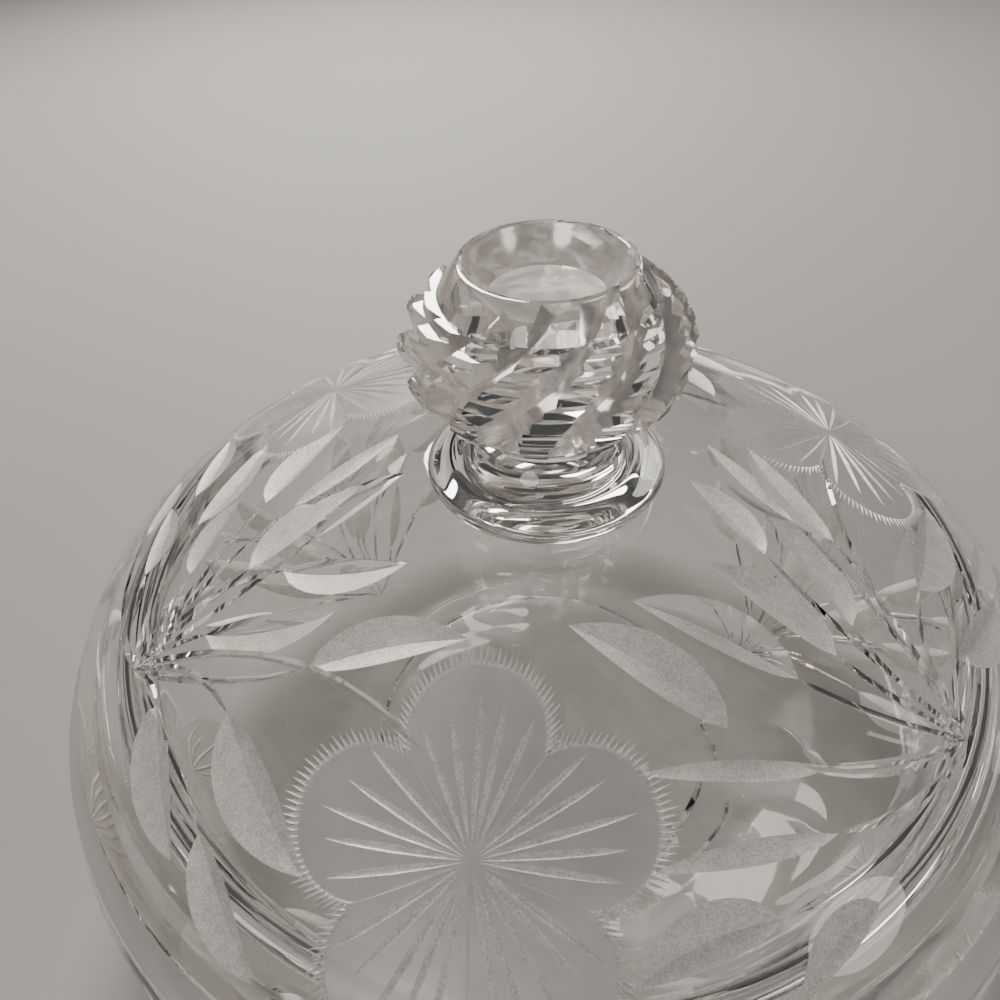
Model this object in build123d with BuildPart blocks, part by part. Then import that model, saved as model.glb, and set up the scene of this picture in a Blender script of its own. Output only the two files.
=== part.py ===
from build123d import *
from math import acos, atan2, cos, degrees, radians, sin, sqrt, tan
import os

# Round covered dish of thick clear cut glass: a bowl, and a low domed lid with a swirl-cut knob.
# Millimetres, +Z up, origin at the middle of the face that the bowl stands on.

# Bowl, outside
base_radius = 54.0
base_ring_width = 10.0
base_hollow_depth = 1.5
bowl_height = 66.0
belly_radius = 102.0
belly_drop = 16.0  # from the rim down to the widest place
rim_radius = 96.0
side_radius = 90.0  # where the round side turns into the nearly straight lower side
side_height = 24.0

# Bowl, inside
bowl_wall = 7.0
bowl_floor = 10.0
bowl_floor_radius = 44.0
mouth_land = 3.0  # straight wall of the mouth below the lid's lip

# Lid
lid_rim_radius = 95.6
lid_rim_land = 1.6
lid_wall = 6.0
dome_rise = 32.5  # from the rim to the top of the dome
crown_radius = 178.0  # of the ball that the middle of the dome follows
crown_edge_radius = 78.0
lip_radius = 88.0
lip_width = 5.0
lip_depth = 6.0
lip_clearance = 0.8

# Foot of the knob
foot_radius = 22.4
foot_edge = 2.6
foot_edge_slope = 0.12  # of the top face, just inside its edge
neck_seat_radius = 12.5
neck_seat_height = 7.5  # above the top of the dome

# Knob, with heights measured from the top of the dome
stem_radius = 11.0
ball_radius = 25.0
equator_height = 26.3
ball_rise = 14.3
ball_drop = 16.5
knob_height = 40.4
knob_top_radius = 14.3
top_lip_width = 1.0
top_hollow_depth = 6.5
hollow_wall_depth = 6.0
hollow_floor_radius = 9.8
band_radius = 17.0  # where the plain band under the top meets the ball

# Cuts of the knob
ring_step = 8.5  # degrees round the ball's section from one ladder groove to the next
ring_depth = 1.0
last_ring = -51.0  # degrees below the widest place
swirl_count = 12
swirl_first = -99.0  # degrees, where the middle of the first swirl cut is
swirl_turn_up = 50.0  # degrees round the knob from there to the top end of a cut
swirl_turn_down = 11.0  # and to its bottom end, the other way
swirl_depth = 3.1  # in the middle of a cut
swirl_lighten = 1.6  # how much shallower a cut is towards its top, and deeper towards its bottom
swirl_flatness = 6  # power that keeps a cut deep until near its ends
swirl_half_angle = 46.0
swirl_top = 54.0  # degrees above and below the widest place where a cut ends
swirl_bottom = -50.0
swirl_run_out = 0.8  # how far above the ball the bottom of a cut is by then
swirl_stations = 7
swirl_clear = 1.1  # how far the cutter stands out of the ball
swirl_top_clear = 1.2  # and how much further at its top end
swirl_tick = 0.01  # of a station, to either side, that gives a cut's direction

# Engraving. A place on the lid is its distance from the axis and its degrees from the front to the right.
flower_places = [(70.5, -8.0), (67.5, 112.0), (64.5, -128.0)]
flower_turn = 7.5  # degrees that a flower's first petal turns away from the line to the axis
flower_scale = 1.0
petal_count = 5
petal_radius = 11.0
petal_offset = 17.5  # from the middle of a flower to the middle of a petal
petal_depth = 0.5
petal_clear = 2.5  # height of what is ground away, so that it reaches out of the glass
ray_near = 3.0  # ends of the long cut in a petal, from the middle of the flower
ray_far = 20.0
ray_depth = 1.0
ray_spread = 0.05  # half of a cut's width against its length
leaf_depth = 1.1
leaf_spread = 0.15
wheel_clear = 0.6  # how far the edge of the wheel reaches out of a cut
wheel_sweep = 1.3  # of the half angle from a cut's middle to its end
left_leaves = [
    ((57, -42), (41, -17)),
    ((68, -61), (48, -47)),
    ((52, -64), (34, -44)),
    ((58, -69), (35, -83)),
    ((49, -82), (32, -110)),
    ((55.5, -86), (47, -112)),
    ((71, -86.5), (65, -107)),
    ((70, -75), (62, -90)),
    ((76, -95), (81, -111)),
    ((45, -69), (27, -85)),
    ((79, -57), (88, -40)),
    ((70, -47), (79, -25.5)),
    ((83, -39), (92, -26)),
]
right_leaves = [
    ((58, 28.5), (37, 6)),
    ((58, 43.5), (35, 24)),
    ((60, 52), (36, 50)),
    ((60, 59), (42, 76)),
    ((54, 76), (41.5, 103)),
    ((47, 77), (33, 104)),
    ((43, 63), (27, 82)),
    ((69, 38), (60, 13)),
    ((76, 34), (72, 12)),
    ((81, 24), (84, 8)),
    ((78, 66), (88, 82)),
    ((70, 74), (79, 95)),
    ((83, 81), (92, 94)),
]
back_turn = -120.0  # from the left spray to the one behind

# On the bowl a place is its height and its degrees from the middle of a spray; sprays and flowers alternate
bowl_repeats = 3
bowl_spray_turn = -8.0
bowl_flower_turn = 52.0
bowl_flower_height = 27.0
bowl_petal_turn = 180.0  # a flower's first petal points down
bowl_flower_scale = 0.72
bowl_leaf_depth = 1.0
bowl_leaves = [
    ((16, 4), (33, 8)),
    ((28, 6), (45, 11)),
    ((12, 10), (24, 19)),
    ((23, 14), (37, 22)),
    ((35, 15), (49, 22)),
    ((17, 21), (27, 31)),
    ((30, 24), (40, 34)),
    ((43, 25), (51, 35)),
]

belly_height = bowl_height - belly_drop
mouth_radius = lip_radius + lip_clearance
dome_top = bowl_height + dome_rise
neck_seat = dome_top + neck_seat_height
knob_top = dome_top + knob_height


def crown_height(radius, wall=0.0):
    """Height of the dome's outer or inner face at that radius, inside the crown's edge."""
    ball = crown_radius - wall
    return dome_top - crown_radius + sqrt(ball**2 - radius**2)


lid_edge = (lid_rim_radius, bowl_height + lid_rim_land)
crown_end = (crown_edge_radius, crown_height(crown_edge_radius))
crown_slope = (crown_height(crown_edge_radius) + crown_radius - dome_top, -crown_edge_radius)


def ball_point(angle, inset=0.0):
    """Point of the ball's section at an angle above or below its widest place."""
    rise = ball_rise if angle >= 0 else ball_drop
    turn = radians(angle)
    point = Vector(ball_radius * cos(turn), dome_top + equator_height + rise * sin(turn))
    return point - ball_normal(angle) * inset


def ball_normal(angle):
    """Normal of the ball's section there, pointing out."""
    rise = ball_rise if angle >= 0 else ball_drop
    turn = radians(angle)
    return Vector(cos(turn) / ball_radius, sin(turn) / rise).normalized()


def ball_angle(radius):
    """Angle, up or down, at which the ball is that wide."""
    return degrees(acos(radius / ball_radius))


def swirl_angle(station):
    """Angle of a swirl cut above the widest place, from -1 at its bottom end to 1 at its top end."""
    return (swirl_top + swirl_bottom) / 2 + (swirl_top - swirl_bottom) / 2 * station


def turned(section, station):
    """A point or direction of the ball's section, turned to where the cut is at that station."""
    lean = (swirl_turn_up + swirl_turn_down) / 2
    bend = (swirl_turn_up - swirl_turn_down) / 2
    around = radians(lean * station + bend * station**2)
    return Vector(section.X * cos(around), section.X * sin(around), section.Y)


def swirl_plane(station):
    """Plane square to the cut there, with its Y axis pointing out of the ball."""
    place = turned(ball_point(swirl_angle(station)), station)
    outward = turned(ball_normal(swirl_angle(station)), station)
    before = turned(ball_point(swirl_angle(station - swirl_tick)), station - swirl_tick)
    after = turned(ball_point(swirl_angle(station + swirl_tick)), station + swirl_tick)
    along = (after - before).normalized()
    return Plane(origin=place, x_dir=outward.cross(along), z_dir=along)


def arc_centre(start, end, tangent):
    """Centre of the arc that leaves start along tangent and comes to end, in a section."""
    chord = Vector(*end) - Vector(*start)
    square = Vector(-tangent[1], tangent[0]).normalized()
    return Vector(*start) + square * (chord.length**2 / (2 * chord.dot(square)))


skirt_centre = arc_centre(crown_end, lid_edge, crown_slope)
side_centre = arc_centre((belly_radius, belly_height), (side_radius, side_height), (0, -1))
side_slope_end = (side_height - side_centre.Y, side_centre.X - side_radius)
base_centre = arc_centre((side_radius, side_height), (base_radius, 0), side_slope_end)


def lid_point(place):
    """Point of the lid's outer face, and its normal."""
    radius, azimuth = place
    middle = Vector(0, dome_top - crown_radius) if radius <= crown_edge_radius else skirt_centre
    reach = crown_radius if radius <= crown_edge_radius else (Vector(*lid_edge) - skirt_centre).length
    height = middle.Y + sqrt(reach**2 - (radius - middle.X) ** 2)
    return set_round(Vector(radius, height), (Vector(radius, height) - middle).normalized(), azimuth)


def bowl_point(place):
    """Point of the bowl's outer face below its widest place, and its normal."""
    height, azimuth = place
    middle = side_centre if height >= side_height else base_centre
    edge = Vector(side_radius, side_height)
    radius = middle.X + sqrt((edge - middle).length ** 2 - (height - middle.Y) ** 2)
    return set_round(Vector(radius, height), (Vector(radius, height) - middle).normalized(), azimuth)


def set_round(point, normal, azimuth):
    """A point and a normal of a section, turned to an azimuth."""
    right, front = sin(radians(azimuth)), -cos(radians(azimuth))
    return [Vector(part.X * right, part.X * front, part.Y) for part in (point, normal)]


def wheel_cutter(surface, find, start, end, depth, spread):
    """What a wheel with a V-shaped edge takes away: a pointed hollow from start to end."""
    first, last = surface(start)[0], surface(end)[0]
    place, normal = surface(find((first + last) / 2))
    low = place - normal * depth
    first, last = first - low, last - low
    side = first.cross(last)
    centre = low + (side.cross(first) * last.length**2 + last.cross(side) * first.length**2) / (2 * side.length**2)
    wheel = (low - centre).length
    axis, out = side.normalized(), (low - centre).normalized()
    slope = spread * (last - first).length / depth
    rim = depth + wheel_clear
    sweep = wheel_sweep * degrees(acos((first + low - centre).normalized().dot(out)))
    from_end = out.rotate(Axis((0, 0, 0), axis), -sweep)
    with BuildPart(mode=Mode.PRIVATE) as cutter:
        with BuildSketch(Plane(origin=centre, x_dir=from_end, z_dir=from_end.cross(axis))):
            Polygon((wheel, 0), (wheel - rim, slope * rim), (wheel - rim, -slope * rim), align=None)
        revolve(axis=Axis(centre, axis), revolution_arc=2 * sweep)
    return cutter.part


def flower_cutters(surface, find, place, turned, scale):
    """What is ground away for the five petals of a flower and the long ray in each."""
    cutters = []
    middle, normal = surface(place)
    inward = (Vector(0, 0, middle.Z) - middle).normalized()
    inward = (inward - normal * inward.dot(normal)).normalized()
    side = normal.cross(inward)
    for petal in range(petal_count):
        angle = radians(turned + 360 / petal_count * petal)
        way = inward * cos(angle) + side * sin(angle)
        centre, out = surface(find(middle + way * petal_offset * scale))
        with BuildPart(mode=Mode.PRIVATE) as cutter:
            with BuildSketch(Plane(origin=centre - out * petal_depth, z_dir=out)):
                Circle(petal_radius * scale)
            extrude(amount=petal_clear)
        ends = [find(middle + way * reach * scale) for reach in (ray_near, ray_far)]
        cutters += [cutter.part, wheel_cutter(surface, find, *ends, ray_depth, ray_spread)]
    return cutters


def on_lid(point):
    """Place on the lid that lies nearest to a point."""
    return (sqrt(point.X**2 + point.Y**2), degrees(atan2(point.X, -point.Y)))


def on_bowl(point):
    """Place on the bowl that lies beside a point."""
    return (point.Z, degrees(atan2(point.X, -point.Y)))


# Bowl: round sides that lean out to a belly just below the rim, and a mouth with a straight wall
with BuildPart() as dish_bowl:
    with BuildSketch(Plane.XZ):
        with BuildLine():
            shoulder = TangentArc((belly_radius, belly_height), (rim_radius, bowl_height), tangent=(0, 1))
            side = TangentArc((belly_radius, belly_height), (side_radius, side_height), tangent=(0, -1))
            skirt = TangentArc(side @ 1, (base_radius, 0), tangent=side % 1)
            inner_belly = (belly_radius - bowl_wall, belly_height)
            mouth_foot = (mouth_radius, bowl_height - lip_depth - mouth_land)
            TangentArc(inner_belly, mouth_foot, tangent=(0, 1))
            side_slope = side % 1
            inner_turn = (side @ 1) + Vector(side_slope.Y, -side_slope.X) * bowl_wall
            inner_side = TangentArc(inner_belly, inner_turn, tangent=(0, -1))
            inner_skirt = TangentArc(inner_turn, (bowl_floor_radius, bowl_floor), tangent=inner_side % 1)
            Polyline(shoulder @ 1, (mouth_radius, bowl_height), mouth_foot)
            Line(inner_skirt @ 1, (0, bowl_floor))
            hollow_edge = (base_radius - base_ring_width, 0)
            hollow_corner = (base_radius - base_ring_width - base_hollow_depth, base_hollow_depth)
            Polyline((0, bowl_floor), (0, base_hollow_depth), hollow_corner, hollow_edge, skirt @ 1)
        make_face()
    revolve(axis=Axis.Z)
    engraving = []
    for repeat in range(bowl_repeats):
        round_turn = 360 / bowl_repeats * repeat
        middle = bowl_spray_turn + round_turn
        for base, tip in bowl_leaves:
            for hand in (-1, 1):
                ends = [(height, middle + hand * azimuth) for height, azimuth in (base, tip)]
                engraving.append(wheel_cutter(bowl_point, on_bowl, *ends, bowl_leaf_depth, leaf_spread))
        place = (bowl_flower_height, bowl_flower_turn + round_turn)
        engraving += flower_cutters(bowl_point, on_bowl, place, bowl_petal_turn, bowl_flower_scale)
    add(engraving, mode=Mode.SUBTRACT, clean=False)
dish_bowl.part.label = "dish_bowl"

# Dome of the lid: a thick shell with a ground seat for the bowl's rim and a lip inside its mouth
with BuildPart() as lid_dome:
    with BuildSketch(Plane.XZ):
        with BuildLine():
            RadiusArc((0, dome_top), crown_end, crown_radius)
            TangentArc(crown_end, lid_edge, tangent=crown_slope)
            inner_edge = crown_edge_radius * (crown_radius - lid_wall) / crown_radius
            inner_end = (inner_edge, crown_height(inner_edge, lid_wall))
            RadiusArc((0, dome_top - lid_wall), inner_end, crown_radius - lid_wall)
            lip_top = (lip_radius - lip_width, bowl_height + lid_rim_land)
            TangentArc(inner_end, lip_top, tangent=crown_slope)
            lip_inner_foot = (lip_radius - lip_width, bowl_height - lip_depth)
            lip_outer_foot = (lip_radius, bowl_height - lip_depth)
            seat_corner = (lip_radius, bowl_height)
            seat_edge = (lid_rim_radius, bowl_height)
            Polyline(lip_top, lip_inner_foot, lip_outer_foot, seat_corner, seat_edge, lid_edge)
            Line((0, dome_top), (0, dome_top - lid_wall))
        make_face()
    revolve(axis=Axis.Z)
    engraving = []
    for leaves, back in ((left_leaves, 0), (right_leaves, 0), (left_leaves, back_turn)):
        for base, tip in leaves:
            ends = [(radius, azimuth + back) for radius, azimuth in (base, tip)]
            engraving.append(wheel_cutter(lid_point, on_lid, *ends, leaf_depth, leaf_spread))
    for place in flower_places:
        engraving += flower_cutters(lid_point, on_lid, place, flower_turn, flower_scale)
    add(engraving, mode=Mode.SUBTRACT, clean=False)
lid_dome.part.label = "lid_dome"

# Foot of the knob: a disc with a round edge that follows the dome and rises to a seat for the stem
with BuildPart() as knob_foot:
    with BuildSketch(Plane.XZ):
        with BuildLine():
            edge_bottom = (foot_radius - foot_edge / 2, crown_height(foot_radius - foot_edge / 2))
            edge_top = (edge_bottom[0], edge_bottom[1] + foot_edge)
            RadiusArc((0, dome_top), edge_bottom, crown_radius)
            ThreePointArc(edge_bottom, (foot_radius, edge_bottom[1] + foot_edge / 2), edge_top)
            neck_edge = (neck_seat_radius, neck_seat)
            TangentArc(edge_top, neck_edge, tangent=(-1, foot_edge_slope))
            Polyline(neck_edge, (0, neck_seat), (0, dome_top))
        make_face()
    revolve(axis=Axis.Z)
knob_foot.part.label = "knob_foot"

# Knob: a flattened ball on a short stem, hollowed on top, with ladder grooves round it
with BuildPart() as lid_knob:
    with BuildSketch(Plane.XZ):
        with BuildLine():
            band_end = ball_point(ball_angle(band_radius))
            top_edge = (knob_top_radius, knob_top)
            hollow_edge = (knob_top_radius - top_lip_width, knob_top)
            ladder = [band_end]
            ring_angle = ball_angle(band_radius) - ring_step / 2
            while ring_angle > last_ring:
                ladder.append(ball_point(ring_angle, ring_depth))
                ladder.append(ball_point(ring_angle - ring_step / 2))
                ring_angle -= ring_step
            Polyline(*ladder)
            stem_top = ball_point(-ball_angle(stem_radius))
            hollow_foot = (0, knob_top - top_hollow_depth)
            hollow_corner = (hollow_floor_radius, knob_top - hollow_wall_depth)
            Polyline(ladder[-1], stem_top, (stem_radius, neck_seat), (0, neck_seat), hollow_foot)
            TangentArc(hollow_foot, hollow_corner, tangent=(1, 0))
            Polyline(hollow_corner, hollow_edge, top_edge, band_end)
        make_face()
    revolve(axis=Axis.Z)

    # Swirl cuts, widest below the widest place of the ball and pointed at both ends
    with BuildPart(mode=Mode.PRIVATE) as swirl_cutter:
        for step in range(swirl_stations):
            station = 2 * step / (swirl_stations - 1) - 1
            swell = swirl_depth + swirl_run_out - swirl_lighten * station
            depth = swell * (1 - abs(station) ** swirl_flatness) - swirl_run_out
            clear = swirl_clear + swirl_top_clear * max(station, 0) ** 2
            half_width = (depth + clear) * tan(radians(swirl_half_angle))
            with BuildSketch(swirl_plane(station)):
                Polygon((0, -depth), (half_width, clear), (-half_width, clear), align=None)
        loft(ruled=True)
    with PolarLocations(0, swirl_count, start_angle=swirl_first):
        add(swirl_cutter.part, mode=Mode.SUBTRACT, clean=False)
lid_knob.part.label = "lid_knob"

os.makedirs("parts", exist_ok=True)
export_step(dish_bowl.part, "parts/dish_bowl.step")
export_step(lid_dome.part, "parts/lid_dome.step")
export_step(knob_foot.part, "parts/knob_foot.step")
export_step(lid_knob.part, "parts/lid_knob.step")
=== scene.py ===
"""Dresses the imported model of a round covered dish: thick engraved glass with a domed lid and a cut knob."""

from math import acos, atan2, ceil, cos, hypot, pi, radians, sin, sqrt, tan

import bpy
import numpy as np
from mathutils import Matrix, Vector
from mathutils.geometry import delaunay_2d_cdt


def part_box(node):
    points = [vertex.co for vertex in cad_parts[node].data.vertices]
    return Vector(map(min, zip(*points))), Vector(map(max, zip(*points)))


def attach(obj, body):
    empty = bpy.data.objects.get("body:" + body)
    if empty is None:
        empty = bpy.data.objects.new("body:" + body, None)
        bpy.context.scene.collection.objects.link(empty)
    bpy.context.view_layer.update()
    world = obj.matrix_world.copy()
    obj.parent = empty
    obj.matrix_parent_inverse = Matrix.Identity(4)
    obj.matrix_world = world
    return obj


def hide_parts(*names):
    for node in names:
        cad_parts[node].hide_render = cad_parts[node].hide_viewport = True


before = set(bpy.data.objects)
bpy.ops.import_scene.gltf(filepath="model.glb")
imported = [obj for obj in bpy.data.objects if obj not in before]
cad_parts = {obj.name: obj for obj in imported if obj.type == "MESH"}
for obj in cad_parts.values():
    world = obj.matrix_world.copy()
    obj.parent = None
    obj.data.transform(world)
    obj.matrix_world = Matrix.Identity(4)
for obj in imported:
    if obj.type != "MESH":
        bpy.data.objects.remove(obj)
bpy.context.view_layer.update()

bl_info = {
    "name": "Covered Dish of Cut Glass",
    "version": (1, 0, 0),
    "blender": (4, 5, 0),
    "location": "3D Viewport > Sidebar > Covered Dish",
    "description": "Models an engraved glass dish with a domed lid and a swirl-cut knob",
    "category": "Object",
}

MM = 0.001
BOWL, LID, FOOT, KNOB = [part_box(node)[1] for node in ("dish_bowl", "lid_dome", "knob_foot", "lid_knob")]
RIM_HEIGHT = round(BOWL.z, 4)
BELLY = round(BOWL.x, 3)
DOME_TOP = round(LID.z, 4)
LID_RADIUS = round(LID.x, 4)
NECK_SEAT = round(FOOT.z, 4)
FOOT_RADIUS = round(FOOT.x, 4)
KNOB_TOP = round(KNOB.z, 4)

CLEAR, SATIN, FROSTED, FACET, FUSED = range(5)  # material slots of every glass piece


# Settings that a user would change


def setting(kind, **limits):
    """A short way to write settings of one kind."""
    return lambda name, description, default: kind(
        name=name, description=description, default=default, **limits
    )


length = setting(bpy.props.FloatProperty, min=0.0, unit="LENGTH", precision=4)
share = setting(bpy.props.FloatProperty, min=0.0, max=1.0, subtype="FACTOR")
power = setting(bpy.props.FloatProperty, min=0.0, unit="POWER")
number = setting(bpy.props.IntProperty, min=3)
colour = setting(bpy.props.FloatVectorProperty, min=0.0, max=1.0, subtype="COLOR")


def turn(name, description, default):
    return setting(bpy.props.FloatProperty, subtype="ANGLE")(name, description, radians(default))


class BowlSizes(bpy.types.PropertyGroup):
    belly_drop: length("Belly Drop", "From the rim down to the widest place", 0.016)
    rim_radius: length("Rim Radius", "Outer edge of the flat rim", 0.096)
    mouth_radius: length("Mouth Radius", "Straight wall that the lid's lip fits", 0.0888)
    mouth_depth: length("Mouth Depth", "Height of that straight wall", 0.009)
    side_radius: length("Side Radius", "Where the round side turns into the lower side", 0.090)
    side_height: length("Side Height", "Height of that place", 0.024)
    base_radius: length("Base Radius", "Outer edge of the ground ring", 0.054)
    base_ring: length("Base Ring", "Width of the ground ring", 0.010)
    base_hollow: length("Base Hollow", "Depth of the hollow inside the ring", 0.0015)
    ground_band: length("Ground Band", "Height of the ground band under the rim", 0.006)
    wall: length("Wall", "Thickness of the sides", 0.007)
    floor: length("Floor", "Thickness of the bottom", 0.010)
    floor_radius: length("Floor Radius", "Flat part of the bottom, inside", 0.044)


class LidSizes(bpy.types.PropertyGroup):
    crown_radius: length("Crown Radius", "Radius of the ball that the crown follows", 0.178)
    crown_edge: length("Crown Edge", "Where the crown turns down to the rim", 0.078)
    rim_land: length("Rim Land", "Height of the rim's edge", 0.0016)
    wall: length("Wall", "Thickness of the dome", 0.006)
    lip_radius: length("Lip Radius", "Outside of the lip", 0.088)
    lip_width: length("Lip Width", "Thickness of the lip", 0.005)
    lip_depth: length("Lip Depth", "How far the lip hangs into the bowl", 0.006)
    seat_gap: length("Seat Gap", "Air between the seat and the rim", 0.0001)


class KnobSizes(bpy.types.PropertyGroup):
    foot_edge: length("Foot Edge", "Thickness of the foot's round edge", 0.0026)
    foot_slope: share("Foot Slope", "Slope of the foot just inside its edge", 0.12)
    neck_radius: length("Neck Radius", "Seat on the foot for the stem", 0.0125)
    stem_radius: length("Stem Radius", "The stem under the ball", 0.011)
    ball_radius: length("Ball Radius", "Widest place of the knob", 0.025)
    equator: length("Equator", "Height of the widest place above the dome", 0.0263)
    ball_rise: length("Ball Rise", "Half height of the ball above its widest place", 0.0143)
    ball_drop: length("Ball Drop", "Half height of the ball below it", 0.0165)
    top_radius: length("Top Radius", "Outer edge of the flat lip on top", 0.0143)
    top_lip: length("Top Lip", "Width of the flat lip on top", 0.001)
    band_radius: length("Band Radius", "Where the plain band meets the cut ball", 0.017)
    hollow_depth: length("Hollow Depth", "Depth of the hollow on top", 0.0065)
    hollow_floor: length("Hollow Floor", "Radius of the hollow's floor", 0.0098)


class KnobCuts(bpy.types.PropertyGroup):
    ring_step: turn("Ring Step", "Angle from one ladder groove to the next", 8.5)
    ring_depth: length("Ring Depth", "Depth of the ladder grooves", 0.001)
    last_ring: turn("Last Ring", "How far below the widest place the ladder goes", -51)
    count: number("Swirl Cuts", "Swirl cuts round the ball", 12)
    first: turn("First Swirl", "Where the middle of the first swirl cut is", -99)
    turn_up: turn("Turn Up", "Turn from a cut's middle to its top end", 51)
    turn_down: turn("Turn Down", "Turn from a cut's middle to its bottom end", 11)
    top: turn("Top End", "Angle above the widest place where a cut ends", 54)
    bottom: turn("Bottom End", "Angle below it where a cut ends", -50)
    depth: length("Swirl Depth", "Depth of a swirl cut in its middle", 0.0031)
    lighten: length("Lighten", "How much shallower a cut is at its top than in its middle", 0.0016)
    run_out: length("Run Out", "How far the cut's line lies outside the ball at its ends", 0.0008)
    half_angle: turn("Half Angle", "Half of the angle between a cut's faces", 46)
    lean: turn("Lean", "Lean of the wheel, which makes the upper face of a cut wider than the lower", 10)
    clear: length("Clearance", "How far the cutter stands out of the ball", 0.0009)
    top_clear: length("Top Clearance", "How much further it stands out at its top end", 0.0012)
    tilt: turn("Tilt", "Lean of the hand-held cuts against the knob's axis", 6)


class Engraving(bpy.types.PropertyGroup):
    flower_radius: length("Flower Radius", "Centre to the tip of a petal", 0.0285)
    petal_depth: length("Petal Depth", "How deep the petals are ground", 0.0004)
    ray_depth: length("Ray Depth", "Depth of the rays in the petals", 0.0006)
    leaf_depth: length("Leaf Depth", "Deepest place of a leaf", 0.0011)
    leaf_width: share("Leaf Width", "Width of a leaf against its length", 0.31)
    grid: length("Grid", "Spacing of the points of the plain glass", 0.0026)
    steps: number("Steps", "Segments round the dish", 192)


class GlassLook(bpy.types.PropertyGroup):
    tint: colour("Tint", "Colour of light through the glass", (0.955, 0.950, 0.935))
    frost: colour("Frost", "Colour of the frosted cuts", (0.88, 0.855, 0.82))
    satin: colour("Satin", "Colour of the half polished petals", (0.70, 0.685, 0.66))
    facet: colour("Facets", "Colour of the knob's cut facets", (0.93, 0.90, 0.86))
    ior: bpy.props.FloatProperty(name="IOR", description="Refractive index of the glass", default=1.54)


class StageLook(bpy.types.PropertyGroup):
    floor: colour("Floor", "Colour of the floor", (0.44, 0.43, 0.415))
    world: share("World", "Brightness of the room", 0.06)
    key: power("Key", "Power of the main soft light", 17.0)
    fill: power("Fill", "Power of the front softbox", 4.0)


class CoveredDishSettings(bpy.types.PropertyGroup):
    bowl: bpy.props.PointerProperty(type=BowlSizes)
    lid: bpy.props.PointerProperty(type=LidSizes)
    knob: bpy.props.PointerProperty(type=KnobSizes)
    cuts: bpy.props.PointerProperty(type=KnobCuts)
    engraving: bpy.props.PointerProperty(type=Engraving)
    glass: bpy.props.PointerProperty(type=GlassLook)
    stage: bpy.props.PointerProperty(type=StageLook)


# Outlines: points (distance from the axis, height), in metres


def turned_by(vector, angle):
    """The flat vector turned by that angle."""
    return Vector((
        vector.x * cos(angle) - vector.y * sin(angle),
        vector.x * sin(angle) + vector.y * cos(angle),
    ))


def arc(start, end, tangent, steps):
    """Points of the arc that leaves start along tangent and comes to end."""
    start, end = Vector(start), Vector(end)
    chord = end - start
    square = Vector((-tangent[1], tangent[0])).normalized()
    if abs(chord.dot(square)) < 1e-9:
        return [start, end]
    reach = chord.length_squared / (2 * chord.dot(square))
    centre = start + square * reach
    first, last = start - centre, end - centre
    sweep = atan2(first.x * last.y - first.y * last.x, first.dot(last))
    if sweep * reach < 0:
        sweep += 2 * pi if reach > 0 else -2 * pi
    return [centre + turned_by(first, sweep * i / steps) for i in range(steps + 1)]


def end_slope(points):
    """Direction in which a row of arc points ends, taken on along the arc."""
    last, before = points[-1] - points[-2], points[-2] - points[-3]
    bend = atan2(before.x * last.y - before.y * last.x, before.dot(last)) / 2
    return turned_by(last, bend)


def rounded(before, corner, after, radius, steps=3):
    """Points that round a corner of an outline."""
    before, corner, after = Vector(before), Vector(corner), Vector(after)
    come, go = (before - corner).normalized(), (after - corner).normalized()
    back = radius / tan(come.angle(go) / 2)
    return arc(corner + come * back, corner + go * back, -come, steps)


def bowl_side(sizes, steps):
    """Outer face of the bowl, from the rim down to the base."""
    belly = (BELLY, RIM_HEIGHT - sizes.belly_drop)
    shoulder = arc(belly, (sizes.rim_radius, RIM_HEIGHT), (0, 1), steps)
    side = arc(belly, (sizes.side_radius, sizes.side_height), (0, -1), steps)
    skirt = arc(side[-1], (sizes.base_radius, 0), end_slope(side), steps)
    return shoulder[:0:-1] + side + skirt[1:]


def crown_turn(sizes):
    """How far the crown has sunk where it turns down to the rim, and its slope there."""
    drop = sizes.crown_radius - sqrt(sizes.crown_radius**2 - sizes.crown_edge**2)
    return drop, (sizes.crown_radius - drop, -sizes.crown_edge)


def dome_face(sizes, steps):
    """Outer face of the dome, from the axis to the top of the rim's land."""
    drop, slope = crown_turn(sizes)
    crown = arc((0, DOME_TOP), (sizes.crown_edge, DOME_TOP - drop), (1, 0), steps)
    skirt = arc(crown[-1], (LID_RADIUS, RIM_HEIGHT + sizes.rim_land), slope, steps)
    return crown + skirt[1:]


def stem_seat(knob):
    """Where the knob's stem stands on its foot, from its edge to the axis."""
    return [(knob.stem_radius * part, NECK_SEAT) for part in (1, 0.5, 0)]


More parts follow.
